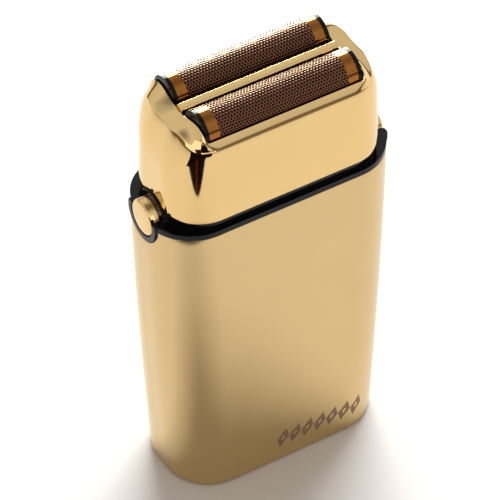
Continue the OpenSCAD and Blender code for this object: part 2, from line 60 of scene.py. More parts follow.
# Body casing, as the CAD holds it
BODY_W, BODY_D, BODY_H = 62.0, 28.0, 84.5
BODY_CORNER, WALL = 12.0, 1.5
BASE_TAPER, TAPER_POWER = 6.2, 1.6
BEZEL_R, BEZEL_FLOOR = 6.0, 24.0

# Release button: its ends along X, the bore for its spring, and its stem
BUTTON_R, BUTTON_FACE, BUTTON_IN = 4.5, 31.1, 25.7
BORE_R, BORE_END = BUTTON_R - 0.9, BUTTON_FACE - 1.4
STEM_R, STEM_IN = 1.2, 21.0

# Head
HEAD_W, HEAD_D, HEAD_CORNER = 55.8, 27.4, 10.0
HEAD_Z, RIM_Z = 88.5, 111.6
HUMP_H, SADDLE_H, CREST_Y = 2.7, 1.0, 8.8
OPENING_X, OPENING_Y = 20.5, 11.75

# Foils: arch, straight legs, and the extent of the holes along X and round the arch
FOIL_Y, FOIL_Z, FOIL_R, FOIL_X = 6.8, 111.6, 4.7, 19.3
FOIL_LEG, FOIL_T = 5.0, 0.1
HOLE_PITCH, HOLE_R, HOLE_SIDES = 0.78, 0.27, 12
MESH_X, MESH_ANGLE = 16.5, 84

# Drive: top of the motor mount, undersides of the yokes, and ends of the cutters' springs
MOUNT_TOP, YOKE_Z = 75.7, {"front": 77.7, "rear": 80.5}
SPRING_FOOT, SPRING_TOP = 96.5, 103.0

SIDES = (("front", "left", -1), ("rear", "right", 1))


# ---- meshes ----


def link_object(name, mesh):
    """A new object in the scene for a mesh."""
    obj = bpy.data.objects.new(name, mesh)
    bpy.context.scene.collection.objects.link(obj)
    return obj


def shade(mesh, sharp=35.0):
    """Smooth shading, except at edges sharper than the angle in degrees."""
    mesh.shade_smooth()
    mesh.set_sharp_from_angle(angle=math.radians(sharp))


def new_object(name, verts, faces, material, sharp):
    """A mesh object from points in millimetres."""
    mesh = bpy.data.meshes.new(name)
    mesh.from_pydata([tuple(float(c) * MM for c in v) for v in verts], [], faces)
    mesh.validate()
    shade(mesh, sharp)
    mesh.materials.append(material)
    return link_object(name, mesh)


def ring_object(name, rings, material, sharp):
    """A closed shell through rings of points, the last ring joined to the first."""
    rings = np.array(rings)
    count, n = rings.shape[:2]
    faces = []
    for k in range(count):
        a, b = k * n, ((k + 1) % count) * n
        for i in range(n):
            j = (i + 1) % n
            faces.append((a + i, a + j, b + j, b + i))
    return new_object(name, rings.reshape(-1, 3), faces, material, sharp)


def clean(obj, flat=False):
    """Welds double points, and joins coplanar triangles where flat is set."""
    bm = bmesh.new()
    bm.from_mesh(obj.data)
    bmesh.ops.remove_doubles(bm, verts=bm.verts, dist=1e-6)
    if flat:
        bmesh.ops.dissolve_limit(bm, angle_limit=math.radians(0.5), verts=bm.verts,
                                 edges=bm.edges, delimit={"NORMAL"})
    bmesh.ops.recalc_face_normals(bm, faces=bm.faces)
    bm.to_mesh(obj.data)
    bm.free()


def settle(obj, body, node):
    """Rides a piece on its body, and hides the CAD node that it stands for."""
    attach(obj, body)
    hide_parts(node)


# ---- outlines ----

END_STEPS, CORNER_STEPS, LONG_STEPS = 14, 26, 10
END_STATIONS = END_STEPS + 1
STATIONS = END_STATIONS + CORNER_STEPS + LONG_STEPS


def quarter(w, d, r, end_y):
    """A quarter of a rounded rectangle from its +X end to the middle of its +Y side. end_y holds
    the y of the first END_STATIONS points; w, d and r are numbers or one value a station."""
    w, d, r = (np.broadcast_to(np.asarray(v, float), STATIONS) for v in (w, d, r))
    cx, cy = w / 2 - r, d / 2 - r
    points = np.zeros((STATIONS, 2))
    e, c = END_STATIONS, END_STATIONS + CORNER_STEPS
    over = np.clip(end_y - cy[:e], 0, None)
    points[:e] = np.stack([cx[:e] + np.sqrt(r[:e] ** 2 - over**2), end_y], 1)
    gap = cy[e:c] - end_y[-1]
    flat = np.clip(gap, 0, None)
    start = np.arcsin(np.clip(-gap, 0, None) / r[e:c])
    along = (flat + r[e:c] * (math.pi / 2 - start)) * np.linspace(0, 1, CORNER_STEPS + 1)[1:]
    angle = start + np.clip(along - flat, 0, None) / r[e:c]
    on_flat = along < flat
    points[e:c, 0] = np.where(on_flat, w[e:c] / 2, cx[e:c] + r[e:c] * np.cos(angle))
    points[e:c, 1] = np.where(on_flat, end_y[-1] + along, cy[e:c] + r[e:c] * np.sin(angle))
    points[c:, 0] = cx[c:] * np.linspace(1, 0, LONG_STEPS + 1)[1:]
    points[c:, 1] = d[c:] / 2
    return points


def whole(points):
    """All four quarters of a ring, from one quarter's points."""
    flip_x, flip_y = np.array([-1, 1, 1]), np.array([1, -1, 1])
    return np.vstack([points, (points * flip_x)[::-1][1:], (points * flip_x * flip_y)[1:],
                      (points * flip_y)[::-1][1:-1]])


def at_height(points, z):
    """Points in the plane with a height each, or one height for all."""
    return np.column_stack([points[:, :2], np.broadcast_to(z, STATIONS)])


def arch_edge(radius, gap, back):
    """y and height above the arch's centre of the end stations, for an edge that follows an arch
    of that radius where it is more than gap from the centre line, set back by some distance."""
    r, g = radius + back, gap + back
    theta = np.linspace(0, math.acos(g / r), END_STATIONS)
    return r * np.sin(theta), r * np.cos(theta)


def arc(*degrees):
    """The sine and cosine of each angle."""
    return [(math.sin(math.radians(a)), math.cos(math.radians(a))) for a in degrees]


def smooth(t):
    """Eases from 0 to 1."""
    t = np.clip(t, 0, 1)
    return t * t * (3 - 2 * t)


# ---- body casing ----

FOOT_R, FOOT_STEPS = 1.1, 8
CASING_EDGE_R, CASING_LEVELS = 0.16, 36
NOTCH_GAP = 0.15
INSIDE_SHARES = (0.9, 0.6, 0.3, 0)


def casing_ring(z, inset, end_y):
    """Ring of the casing at a height, drawn in by an inset."""
    z = np.broadcast_to(np.asarray(z, float), STATIONS)
    width = BODY_W - BASE_TAPER * np.clip(1 - z / BODY_H, 0, 1) ** TAPER_POWER
    points = quarter(width - 2 * inset, BODY_D - 2 * inset, BODY_CORNER - inset, end_y)
    return whole(at_height(points, z))


def casing_top(back):
    """Heights and end stations of the casing's upper edge, notched for each bezel."""
    y, rise = arch_edge(BEZEL_R + NOTCH_GAP, 0.0, back)
    z = np.full(STATIONS, BODY_H - back)
    z[:END_STATIONS] = BODY_H - rise
    return z, y


def make_casing(material):
    """Drawn metal casing: one smooth taper, a rounded foot, and a notch for each bezel."""
    top, y_top = casing_top(CASING_EDGE_R)
    rings = []
    for s, c in arc(*np.linspace(0, 90, FOOT_STEPS + 1)):
        rings.append(casing_ring(FOOT_R * (1 - c), FOOT_R * (1 - s), y_top))
    for share in np.linspace(0, 1, CASING_LEVELS + 1)[1:]:
        rings.append(casing_ring(FOOT_R + (top - FOOT_R) * share, 0, y_top))
    for s, c in arc(30, 60, 90):
        z, y = casing_top(CASING_EDGE_R * (1 - s))
        rings.append(casing_ring(z, CASING_EDGE_R * (1 - c), y))
    z, y = casing_top(0)
    rings.append(casing_ring(z, WALL, y))
    for share in INSIDE_SHARES:
        rings.append(casing_ring(z * share, WALL, y))
    return ring_object("body_casing", rings, material, 35)


# ---- head shell ----

# Outer wall: draft, how its corners grow rounder upwards, and the step that gives its direction
HEAD_DRAFT, HEAD_ARCH_GAP = 0.2, 0.1
CORNER_GROWTH, GROWTH_EASE = 0.03, 9.0
HEAD_EDGE_R, HEAD_LEVELS, WALL_STEP = 0.25, 26, 0.4

# Shoulder: its height and distance in from the wall, on the cheeks and on the broad sides
CHEEK_SHOULDER_Z, FRONT_SHOULDER_Z = 111.8, 109.8
CHEEK_SHOULDER_IN, FRONT_SHOULDER_IN = 2.8, 0.3
SHOULDER_TILT, SHOULDER_FOLLOW = 29.0, 0.6
BEND_STEPS, BEND_PULL = 18, 0.34

# Where the cheeks pass into the broad sides, as degrees that the wall has turned from X
FACING_START, FACING_SPAN = 20, 45

# Crown, from the shoulder to the opening: pulls and end tilts of its curve
CROWN_STEPS, CROWN_SPACING = 24, 1.4
LEAN_PULL, CREST_PULL = 0.12, 0.4
FRONT_CREST_TILT, CHEEK_CREST_TILT = 50, 80

# Opening: where its rays start, how square it is, how close to its end counts as a cheek, and
# how far below the rim the wall is measured for it; then its rounded edge, land and depth
RAY_X, SQUARENESS, CHEEK_MARGIN, UPPER_DEPTH = 14.0, 40, 0.5, 6.0
RIM_EDGE_R, RIM_LAND, RIM_DEPTH = 0.25, 0.2, 2.5

# Inside: wall, corner, and how far below the rim the cavity's upper rings are
HEAD_WALL, INSIDE_CORNER = 1.2, 9.6
CAVITY_DEPTHS = (6.1, 11.6)


def head_ring(z, inset, end_y):
    """Quarter ring of the outer wall, drawn in slightly towards the top."""
    z = np.broadcast_to(np.asarray(z, float), STATIONS)
    up = np.clip(z - HEAD_Z, 0, None)
    eased = np.where(up < GROWTH_EASE, up**2 / (2 * GROWTH_EASE), up - GROWTH_EASE / 2)
    corner = HEAD_CORNER + CORNER_GROWTH * eased
    narrow = HEAD_DRAFT * np.clip(up / (RIM_Z - HEAD_Z), 0, 1) + inset
    return at_height(quarter(HEAD_W - 2 * narrow, HEAD_D - 2 * narrow, corner - inset, end_y), z)


def head_foot(back):
    """Heights and end stations of the head's lower edge, arched over each bezel."""
    y, rise = arch_edge(BEZEL_R + HEAD_ARCH_GAP, HEAD_Z - BODY_H, back)
    z = np.full(STATIONS, HEAD_Z + back)
    z[:END_STATIONS] = BODY_H + rise
    return z, y


def cheek_top(y):
    """Height of a cheek's inner edge: humps beside the foils with a saddle between them."""
    swing = np.sin(math.pi / 2 * np.clip(np.abs(y) / CREST_Y, 0, 1)) ** 2
    fall = np.clip(1 - (np.abs(y) / OPENING_Y) ** 6, 0, 1) ** 0.5
    return RIM_Z + (SADDLE_H + (HUMP_H - SADDLE_H) * swing) * fall


def opening_quarter(outer):
    """The opening's edge, on a line from each point of the outer wall towards the foils."""
    start = np.array([RAY_X, 0.0])
    ray = outer[:, :2] - start
    ray[-LONG_STEPS - 1:] = ray[-LONG_STEPS - 1]
    across = np.maximum(ray[:, 0], 1e-6) / (OPENING_X - RAY_X)
    along = np.maximum(ray[:, 1], 1e-6) / OPENING_Y
    length = (across**SQUARENESS + along**SQUARENESS) ** (1 / SQUARENESS)
    points = ray / length[:, None] + start
    points[-LONG_STEPS:, 0] = points[-LONG_STEPS - 1, 0] * np.linspace(1, 0, LONG_STEPS + 1)[1:]
    return points


def front_share(outer):
    """0 where the outer wall faces along X and 1 where it faces a broad side."""
    slope = np.gradient(outer[:, :2], axis=0)
    facing = np.degrees(np.arctan2(np.abs(slope[:, 0]), np.abs(slope[:, 1])))
    facing[-LONG_STEPS:] = 90
    return smooth((facing - FACING_START) / FACING_SPAN)


def curve(p0, p1, p2, p3, t):
    """Point of a cubic curve, for all stations at once."""
    return (1 - t) ** 3 * p0 + 3 * (1 - t) ** 2 * t * p1 + 3 * (1 - t) * t**2 * p2 + t**3 * p3


def tilted(inward, degrees):
    """Directions that lean inwards from upright by the given angles."""
    lean = np.radians(degrees)
    return inward * np.sin(lean) + np.array([0, 0, 1.0]) * np.cos(lean)


def head_wall_rings(start):
    """Rings of the outer wall, from its rounded lower edge up to the heights in start."""
    rings = []
    for s, c in arc(0, 30, 60):
        z, y = head_foot(HEAD_EDGE_R * (1 - c))
        rings.append(head_ring(z, HEAD_EDGE_R * (1 - s), y))
    low, y = head_foot(HEAD_EDGE_R)
    for share in np.linspace(0, 1, HEAD_LEVELS + 1):
        rings.append(head_ring(low + (start - low) * share, 0, y))
    return rings


def head_crown_rings(outer, wall, inner, top, shoulder, toward_front):
    """Rings from the top of the wall over the shoulder to the opening and down inside it.
    wall is the wall's own direction, and shoulder holds the shoulder's heights and insets."""
    shoulder_z, shoulder_in = shoulder
    inward = at_height(inner, 0) - at_height(outer, 0)
    inward /= np.linalg.norm(inward, axis=1)[:, None]
    up = np.array([0, 0, 1.0])
    rise = (shoulder_z - outer[:, 2])[:, None]
    bend = outer + inward * shoulder_in[:, None] + up * rise
    lean_way = tilted(inward, SHOULDER_TILT)
    rings = []
    for t in np.linspace(0, 1, BEND_STEPS + 1)[1:]:
        rings.append(curve(outer, outer + wall * rise * BEND_PULL,
                           bend - lean_way * rise * BEND_PULL, bend, t))
    edge = at_height(inner, top) - inward * RIM_EDGE_R
    crest_tilt = CHEEK_CREST_TILT + (FRONT_CREST_TILT - CHEEK_CREST_TILT) * toward_front
    crest_way = tilted(inward, crest_tilt[:, None])
    span = np.linalg.norm(edge - bend, axis=1)[:, None]
    for t in np.linspace(0, 1, CROWN_STEPS + 1)[1:] ** CROWN_SPACING:
        rings.append(curve(bend, bend + lean_way * span * LEAN_PULL,
                           edge - crest_way * span * CREST_PULL, edge, t))
    for s, c in arc(30, 60, 85):
        rings.append(edge + (inward * s - up * (1 - c)) * RIM_EDGE_R)
    rings.append(at_height(inner, top - RIM_EDGE_R - RIM_LAND))
    rings.append(at_height(inner, RIM_Z - RIM_DEPTH))
    return rings


def make_head(material):
    """Polished shell: near-upright walls that lean in to a soft shoulder below the foils."""
    y_low = head_foot(HEAD_EDGE_R)[1]
    upper = head_ring(RIM_Z - UPPER_DEPTH, 0, y_low)
    inner = opening_quarter(upper)
    toward_front = front_share(upper)
    on_cheek = inner[:, 0] > OPENING_X - CHEEK_MARGIN
    top = np.where(on_cheek, cheek_top(np.clip(inner[:, 1], 0, OPENING_Y)), RIM_Z)
    cheek_z = CHEEK_SHOULDER_Z + SHOULDER_FOLLOW * np.clip(top - RIM_Z - SADDLE_H, 0, None)
    shoulder_z = cheek_z + (FRONT_SHOULDER_Z - cheek_z) * toward_front
    shoulder_in = CHEEK_SHOULDER_IN + (FRONT_SHOULDER_IN - CHEEK_SHOULDER_IN) * toward_front
    start = shoulder_z - shoulder_in / math.tan(math.radians(SHOULDER_TILT / 2))
    rings = head_wall_rings(start)
    outer = rings[-1]
    wall = outer - head_ring(start - WALL_STEP, 0, y_low)
    wall /= np.linalg.norm(wall, axis=1)[:, None]
    rings += head_crown_rings(outer, wall, inner, top, (shoulder_z, shoulder_in), toward_front)
    z, y = head_foot(0)
    inside = quarter(HEAD_W - 2 * HEAD_WALL, HEAD_D - 2 * HEAD_WALL, INSIDE_CORNER, y)
    rings += [at_height(inside, RIM_Z - depth) for depth in CAVITY_DEPTHS]
    rings.append(at_height(inside, z))
    return ring_object("head_shell", [whole(ring) for ring in rings], material, 40)


# ---- foils ----


def foil_point(x, s, side):
    """Point of a foil from its place along X and along the arch, measured from the crown."""
    past = abs(s) - FOIL_R * math.pi / 2
    if past > 0:
        return (x, side * FOIL_Y + math.copysign(FOIL_R, s), FOIL_Z - past)
    a = s / FOIL_R
    return (x, side * FOIL_Y + FOIL_R * math.sin(a), FOIL_Z + FOIL_R * math.cos(a))


def make_foil(name, side, material):
    """Arched sheet with real holes on a honeycomb layout, plain at its ends and along its legs."""
    half_s = FOIL_R * math.pi / 2 + FOIL_LEG
    hole_s = FOIL_R * math.radians(MESH_ANGLE)
    row_h = HOLE_PITCH * math.sqrt(3) / 2
    rows = int(math.ceil(half_s / row_h)) + 1
    columns = int(math.ceil(FOIL_X / HOLE_PITCH)) + 1
    turns = arc(*(360 * k / HOLE_SIDES for k in range(HOLE_SIDES)))
    reaches = [HOLE_PITCH / 2, HOLE_PITCH / math.sqrt(3)] * (HOLE_SIDES // 2)
    points, faces, seen = [], [], {}

    def add(x, s):
        x = min(max(x, -FOIL_X), FOIL_X)
        s = min(max(s, -half_s), half_s)
        key = (round(x, 3), round(s, 3))
        if key not in seen:
            seen[key] = len(points)
            points.append(foil_point(x, s, side))
        return seen[key]

    def add_face(corners):
        ring = [c for i, c in enumerate(corners) if c != corners[i - 1]]
        if len(set(ring)) > 2:
            faces.append(tuple(ring))

    def add_cell(x0, s0):
        rim = [add(x0 + reach * c, s0 + reach * s) for reach, (s, c) in zip(reaches, turns)]
        if abs(x0) < MESH_X and abs(s0) < hole_s:
            hole = [add(x0 + HOLE_R * c, s0 + HOLE_R * s) for s, c in turns]
            for k in range(HOLE_SIDES):
                j = (k + 1) % HOLE_SIDES
                add_face([rim[k], rim[j], hole[j], hole[k]])
        else:
            middle = add(x0, s0)
            for k in range(HOLE_SIDES):
                add_face([rim[k], rim[(k + 1) % HOLE_SIDES], middle])

    for row in range(-rows, rows + 1):
        shift = HOLE_PITCH / 2 if row % 2 else 0
        for column in range(-columns, columns + 1):
            x0, s0 = column * HOLE_PITCH + shift, row * row_h
            if abs(x0) <= FOIL_X + HOLE_PITCH and abs(s0) <= half_s + row_h:
                add_cell(x0, s0)
    obj = new_object(name, points, faces, material, 50)
    skin = obj.modifiers.new("sheet", "SOLIDIFY")
    skin.thickness = FOIL_T * MM
    skin.offset = -1
    return obj


# ---- buttons ----

LATHE_SIDES = 96
BUTTON_PROFILE = [(0, BUTTON_FACE), (1.5, BUTTON_FACE - 0.01), (3.0, BUTTON_FACE - 0.03),
                  (3.9, BUTTON_FACE - 0.07), (4.15, BUTTON_FACE - 0.13),
                  (4.38, BUTTON_FACE - 0.3), (BUTTON_R, BUTTON_FACE - 0.55),
                  (BUTTON_R, 28.5), (BUTTON_R, BUTTON_IN + 0.1), (BUTTON_R - 0.1, BUTTON_IN),
                  (BORE_R, BUTTON_IN), (BORE_R, BORE_END), (STEM_R, BORE_END),
                  (STEM_R, STEM_IN), (0, STEM_IN)]


def make_button(name, sign, material):
    """Turned button with a slightly crowned face, a bore for its spring and a stem."""
    verts, faces = [], []
    m = len(BUTTON_PROFILE)
    for k in range(LATHE_SIDES):
        turn = 2 * math.pi * k / LATHE_SIDES
        for r, x in BUTTON_PROFILE:
            verts.append((sign * x, r * math.cos(turn) * sign, BODY_H + r * math.sin(turn)))
        a, b = k * m, ((k + 1) % LATHE_SIDES) * m
        faces += [(a + i, a + i + 1, b + i + 1, b + i) for i in range(m - 1)]
    obj = new_object(name, verts, faces, material, 40)
    clean(obj)
    return obj


# ---- finished copies of CAD nodes ----

FLEX_CUTS = 6


def copy_of(node, ending, material):
    """A copy of a CAD node's mesh as a new object."""
    mesh = frame["nodes"][node].data.copy()
    mesh.materials.clear()
    mesh.materials.append(material)
    return link_object(node + ending, mesh)


def refine(node, body, material, edge):
    """A finished copy of a CAD node: welded, with small rounded edges."""
    obj = copy_of(node, "_finished", material)
    if "custom_normal" in obj.data.attributes:
        obj.data.attributes.remove(obj.data.attributes["custom_normal"])
    clean(obj, flat=True)
    shade(obj.data)
    bevel = obj.modifiers.new("edges", "BEVEL")
    bevel.width = edge * MM
    bevel.segments = 3
    bevel.limit_method = "ANGLE"
    bevel.angle_limit = math.radians(35)
    bevel.harden_normals = True
    settle(obj, body, node)


def flexing(node, material, start, end):
    """A copy of a CAD node between two bodies, cut into slices across the line from start to end
    in mm.
    """
    obj = copy_of(node, "_flexing", material)
    clean(obj, flat=True)
    bm = bmesh.new()
    bm.from_mesh(obj.data)
    for k in range(1, FLEX_CUTS):
        place = [(a + (b - a) * k / FLEX_CUTS) * MM for a, b in zip(start, end)]
        bmesh.ops.bisect_plane(bm, geom=bm.verts[:] + bm.edges[:] + bm.faces[:], plane_co=place,
                               plane_no=[b - a for a, b in zip(start, end)])
    bm.to_mesh(obj.data)
    bm.free()
    shade(obj.data)
    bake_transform(obj)
    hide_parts(node)


# ---- materials ----

WIDE_GRAIN, WIDE_STOPS = 12.0, (0.3, 0.7)
COAT_ROUGHNESS, RELIEF_STRENGTH = 0.03, 0.5

# Plain ends of the foils: colour, and how far past the last holes they start
FOIL_END_COLOR, FOIL_END_GAP = (0.33, 0.11, 0.003), 0.2

# Etched row: first edge, pitch, count and slant; height, half height, outer and inner outline
ETCH_START, ETCH_PITCH, ETCH_COUNT, ETCH_SLANT = -3.7, 3.45, 7, 0.35
ETCH_Z, ETCH_HALF_H, ETCH_OUTSIDE, ETCH_INSIDE = 7.5, 3.0, 0.96, 0.3
ETCH_COLOR, ETCH_ROUGHNESS = (0.30, 0.20, 0.13), 0.6


def node_material(name, color, metal, rough, grain, grain_size, bump=0.0, coat=0.0,
                  tint=0.04, stretch=(1, 1, 1), clear=0.0, specular=0.5):
    """A procedural finish: fine noise varies the roughness and the surface, wide noise the
    colour. grain is the roughness's swing, tint the colour's, and bump the relief's depth."""
    material = bpy.data.materials.new(name)
    material.use_nodes = True
    nodes, links = material.node_tree.nodes, material.node_tree.links
    shader = nodes["Principled BSDF"]
    place = nodes.new("ShaderNodeTexCoord")
    scale = nodes.new("ShaderNodeMapping")
    scale.inputs["Scale"].default_value = stretch
    links.new(place.outputs["Object"], scale.inputs["Vector"])
    noise = nodes.new("ShaderNodeTexNoise")
    noise.inputs["Scale"].default_value = 1 / (grain_size * MM)
    noise.inputs["Detail"].default_value = 4
    links.new(scale.outputs["Vector"], noise.inputs["Vector"])
    swing = nodes.new("ShaderNodeMapRange")
    swing.inputs["To Min"].default_value = max(0.0, rough - grain)
    swing.inputs["To Max"].default_value = rough + grain
    links.new(noise.outputs["Fac"], swing.inputs["Value"])
    links.new(swing.outputs["Result"], shader.inputs["Roughness"])
    wide = nodes.new("ShaderNodeTexNoise")
    wide.inputs["Scale"].default_value = 1 / (WIDE_GRAIN * MM)
    wide.inputs["Detail"].default_value = 2
    links.new(place.outputs["Object"], wide.inputs["Vector"])
    ramp = nodes.new("ShaderNodeValToRGB")
    for element, position, change in zip(ramp.color_ramp.elements, WIDE_STOPS, (-tint, tint)):
        element.position = position
        element.color = (*[min(1, c * (1 + change)) for c in color], 1)
    links.new(wide.outputs["Fac"], ramp.inputs["Fac"])
    links.new(ramp.outputs["Color"], shader.inputs["Base Color"])
    for socket, value in (("Metallic", metal), ("Coat Weight", coat),
                          ("Coat Roughness", COAT_ROUGHNESS), ("Specular IOR Level", specular),
                          ("Transmission Weight", clear)):
        shader.inputs[socket].default_value = value
    if bump:
        relief = nodes.new("ShaderNodeBump")
        relief.inputs["Strength"].default_value = RELIEF_STRENGTH
        relief.inputs["Distance"].default_value = bump * MM
        links.new(noise.outputs["Fac"], relief.inputs["Height"])
        links.new(relief.outputs["Normal"], shader.inputs["Normal"])
    return material


def calculate(tree, operation, a, b=0.0):
    """Output of a new maths node; a and b are sockets or numbers."""
    node = tree.nodes.new("ShaderNodeMath")
    node.operation = operation
    for socket, value in zip(node.inputs, (a, b)):
        if isinstance(value, bpy.types.NodeSocket):
            tree.links.new(value, socket)
        else:
            socket.default_value = value
    return node.outputs[0]


def overlay(tree, mask, name, value):
    """Puts three values in place of one input of the material's shader where mask is 1."""
    socket = tree.nodes["Principled BSDF"].inputs[name]
    mix = tree.nodes.new("ShaderNodeMix")
    mix.data_type = "RGBA"
    tree.links.new(mask, mix.inputs["Factor"])
    tree.links.new(socket.links[0].from_socket, mix.inputs["A"])
    mix.inputs["B"].default_value = (*value, 1)
    tree.links.new(mix.outputs["Result"], socket)


def object_place(tree):
    """The place on the object in millimetres, as three sockets."""
    place = tree.nodes.new("ShaderNodeTexCoord")
    split = tree.nodes.new("ShaderNodeSeparateXYZ")
    tree.links.new(place.outputs["Object"], split.inputs["Vector"])
    return [calculate(tree, "DIVIDE", split.outputs[k], MM) for k in range(3)]


def plain_ends(material):
    """Gives the plain ends of a foil a brighter, more orange gold than the etched mesh."""
    tree = material.node_tree
    away = calculate(tree, "ABSOLUTE", object_place(tree)[0])
    outside = calculate(tree, "GREATER_THAN", away, MESH_X + FOIL_END_GAP)
    overlay(tree, outside, "Base Color", FOIL_END_COLOR)
    return material


def etch(material):
    """Adds a row of slanted, hollow lozenges, etched matt and darker, low on the -Y face."""
    tree = material.node_tree
    x, y, z = object_place(tree)
    above = calculate(tree, "SUBTRACT", z, ETCH_Z)
    slant = calculate(tree, "MULTIPLY", above, -ETCH_SLANT)
    along = calculate(tree, "SUBTRACT", calculate(tree, "ADD", x, slant), ETCH_START)
    cell = calculate(tree, "DIVIDE", along, ETCH_PITCH)
    off_middle = calculate(tree, "SUBTRACT", calculate(tree, "FRACT", cell), 0.5)
    across = calculate(tree, "MULTIPLY", calculate(tree, "ABSOLUTE", off_middle), 2.0)
    height = calculate(tree, "DIVIDE", calculate(tree, "ABSOLUTE", above), ETCH_HALF_H)
    reach = calculate(tree, "ADD", across, height)
    mask = calculate(tree, "LESS_THAN", reach, ETCH_OUTSIDE)
    for operation, value, limit in (("GREATER_THAN", reach, ETCH_INSIDE),
                                    ("GREATER_THAN", cell, 0.0), ("LESS_THAN", cell, ETCH_COUNT),
                                    ("LESS_THAN", y, 0.0)):
        mask = calculate(tree, "MULTIPLY", mask, calculate(tree, operation, value, limit))
    overlay(tree, mask, "Base Color", ETCH_COLOR)
    overlay(tree, mask, "Roughness", (ETCH_ROUGHNESS,) * 3)
    return material


LOOKS = {
    "satin_gold": dict(color=(0.66, 0.485, 0.235), metal=1, rough=0.22, grain=0.03,
                       grain_size=0.25, bump=0.004, tint=0.015, stretch=(1, 1, 0.2)),
    "mirror_gold": dict(color=(0.79, 0.56, 0.25), metal=1, rough=0.045, grain=0.012,
                        grain_size=3.0, tint=0.01),
    "titanium_gold": dict(color=(0.15, 0.05, 0.014), metal=1, rough=0.055, grain=0.02,
                          grain_size=0.6, coat=0.6, tint=0.06),
    "gloss_black": dict(color=(0.004, 0.004, 0.005), metal=0, rough=0.07, grain=0.02,
                        grain_size=4.0, tint=0.2, specular=0.2),
    "cap_black": dict(color=(0.003, 0.003, 0.003), metal=0, rough=0.1, grain=0.03,
                      grain_size=2.0, tint=0.2, specular=0.15),
    "satin_black": dict(color=(0.018, 0.018, 0.02), metal=0, rough=0.42, grain=0.08,
                        grain_size=0.3, bump=0.01, tint=0.15),
    "seal_rubber": dict(color=(0.012, 0.012, 0.012), metal=0, rough=0.75, grain=0.1,
                        grain_size=0.2, bump=0.012, tint=0.2),
    "steel": dict(color=(0.22, 0.21, 0.23), metal=1, rough=0.3, grain=0.08,
                  grain_size=0.4, bump=0.003, tint=0.05, stretch=(1, 1, 0.15)),
    # Blades: near-black steel, a painted shade that darkens the foils' holes as the shade inside
    # the head does
    "blade_steel": dict(color=(0.05, 0.035, 0.035), metal=1, rough=0.3, grain=0.08,
                        grain_size=0.4, bump=0.003, tint=0.05, stretch=(1, 1, 0.15)),
    "white_resin": dict(color=(0.72, 0.71, 0.64), metal=0, rough=0.38, grain=0.07,
                        grain_size=0.5, bump=0.006, tint=0.03),
    "contact_metal": dict(color=(0.80, 0.66, 0.36), metal=1, rough=0.28, grain=0.08,
                          grain_size=0.5, bump=0.002, tint=0.05),
    "cell_wrap": dict(color=(0.03, 0.16, 0.08), metal=0, rough=0.3, grain=0.08,
                      grain_size=2.0, bump=0.01, coat=0.5, tint=0.08),
    "circuit_board": dict(color=(0.01, 0.10, 0.035), metal=0, rough=0.35, grain=0.1,
                          grain_size=0.8, bump=0.012, coat=0.4, tint=0.2),
    "wire_red": dict(color=(0.42, 0.015, 0.01), metal=0, rough=0.45, grain=0.08,
                     grain_size=0.4, bump=0.004, tint=0.08),
    "wire_black": dict(color=(0.012, 0.012, 0.012), metal=0, rough=0.45, grain=0.08,
                       grain_size=0.4, bump=0.004, tint=0.15),
    "clear_lens": dict(color=(0.85, 0.88, 0.9), metal=0, rough=0.22, grain=0.05,
                       grain_size=0.4, bump=0.004, tint=0.02, clear=0.7),
    "floor_paint": dict(color=(0.86, 0.86, 0.86), metal=0, rough=0.7, grain=0.05,
                        grain_size=30.0, tint=0.004),
}
finishes = {name: node_material(name, **look) for name, look in LOOKS.items()}
foil_metal = plain_ends(finishes["titanium_gold"])
etched_gold = etch(node_material("etched_gold", **LOOKS["satin_gold"]))


# ---- camera, floor and light ----

CAMERA_AZ, CAMERA_EL, CAMERA_ROLL = -30.75, 45.0, -0.32
CAMERA_REACH, CAMERA_AIM = 855.4, 55.0
LENS, SENSOR, SHIFT_X, SHIFT_Y = 262.7064, 36.0, -0.01916, 0.02028
FLOOR_HALF = 4000.0

# Soft source high behind the shaver, and the room's own light on the floor and the backdrop
KEY_AZ, KEY_EL, KEY_DISTANCE, KEY_SIZE, KEY_POWER = 140.0, 57.0, 3000.0, 1500.0, 96.0
ROOM_COLOR, ROOM_STRENGTH = (1.0, 0.89, 0.83), 0.42
BACKDROP = (0.86, 0.85, 0.84)

# What polished surfaces mirror: elevation in degrees and colour, with a darker horizon
SKY = [(0, (0.2, 0.15, 0.1)), (6.5, (0.2, 0.15, 0.1)), (10, (0.72, 0.71, 0.7)),
       (50, (0.8, 0.79, 0.78)), (66, (0.5, 0.5, 0.5)), (80, (0.22, 0.2, 0.18))]

# Cards that only show in reflections: distances from the shaver's axis, colours, and the angles
# that they fill as seen from the head, whose height is HEAD_EYE
BACK_REACH, BACK_COLOR = 420.0, (16.0, 18.5, 16.0)
BACK_MIDDLE, BACK_HALF, BACK_LOW, BACK_HIGH = 6, 9, -16, 40
FLAG_AZ, FLAG_REACH, FLAG_COLOR = -39.25, 112.0, (0.008, 0.006, 0.005)
FLAG_HALF, FLAG_FOOT, FLAG_DROP, FLAG_TOP, FLAG_POWER = 60.0, 19.0, 14.0, 116.0, 1.3
STRIPE_REACH, STRIPE_COLOR = 111.0, (0.16, 0.012, 0.012)
STRIPE_OUTLINE = [(-10, 24), (-4, 21), (-4, 40), (-10, 40)]
ROOM_REACH, DOOR_COLOR, BOX_COLOR = 900.0, (0.045, 0.006, 0.004), (1.4, 1.4, 1.4)
DOOR_HALF, BOX_MIDDLE, BOX_HALF, ROOM_LOW, ROOM_HIGH = 9, 27, 18, 5, 45
HEAD_EYE = 105.0


def direction(azimuth, elevation):
    """Unit vector towards a place in the room; azimuth 0 is -Y and 90 is +X."""
    a, e = math.radians(azimuth), math.radians(elevation)
    return Vector((math.sin(a) * math.cos(e), -math.cos(a) * math.cos(e), math.sin(e)))


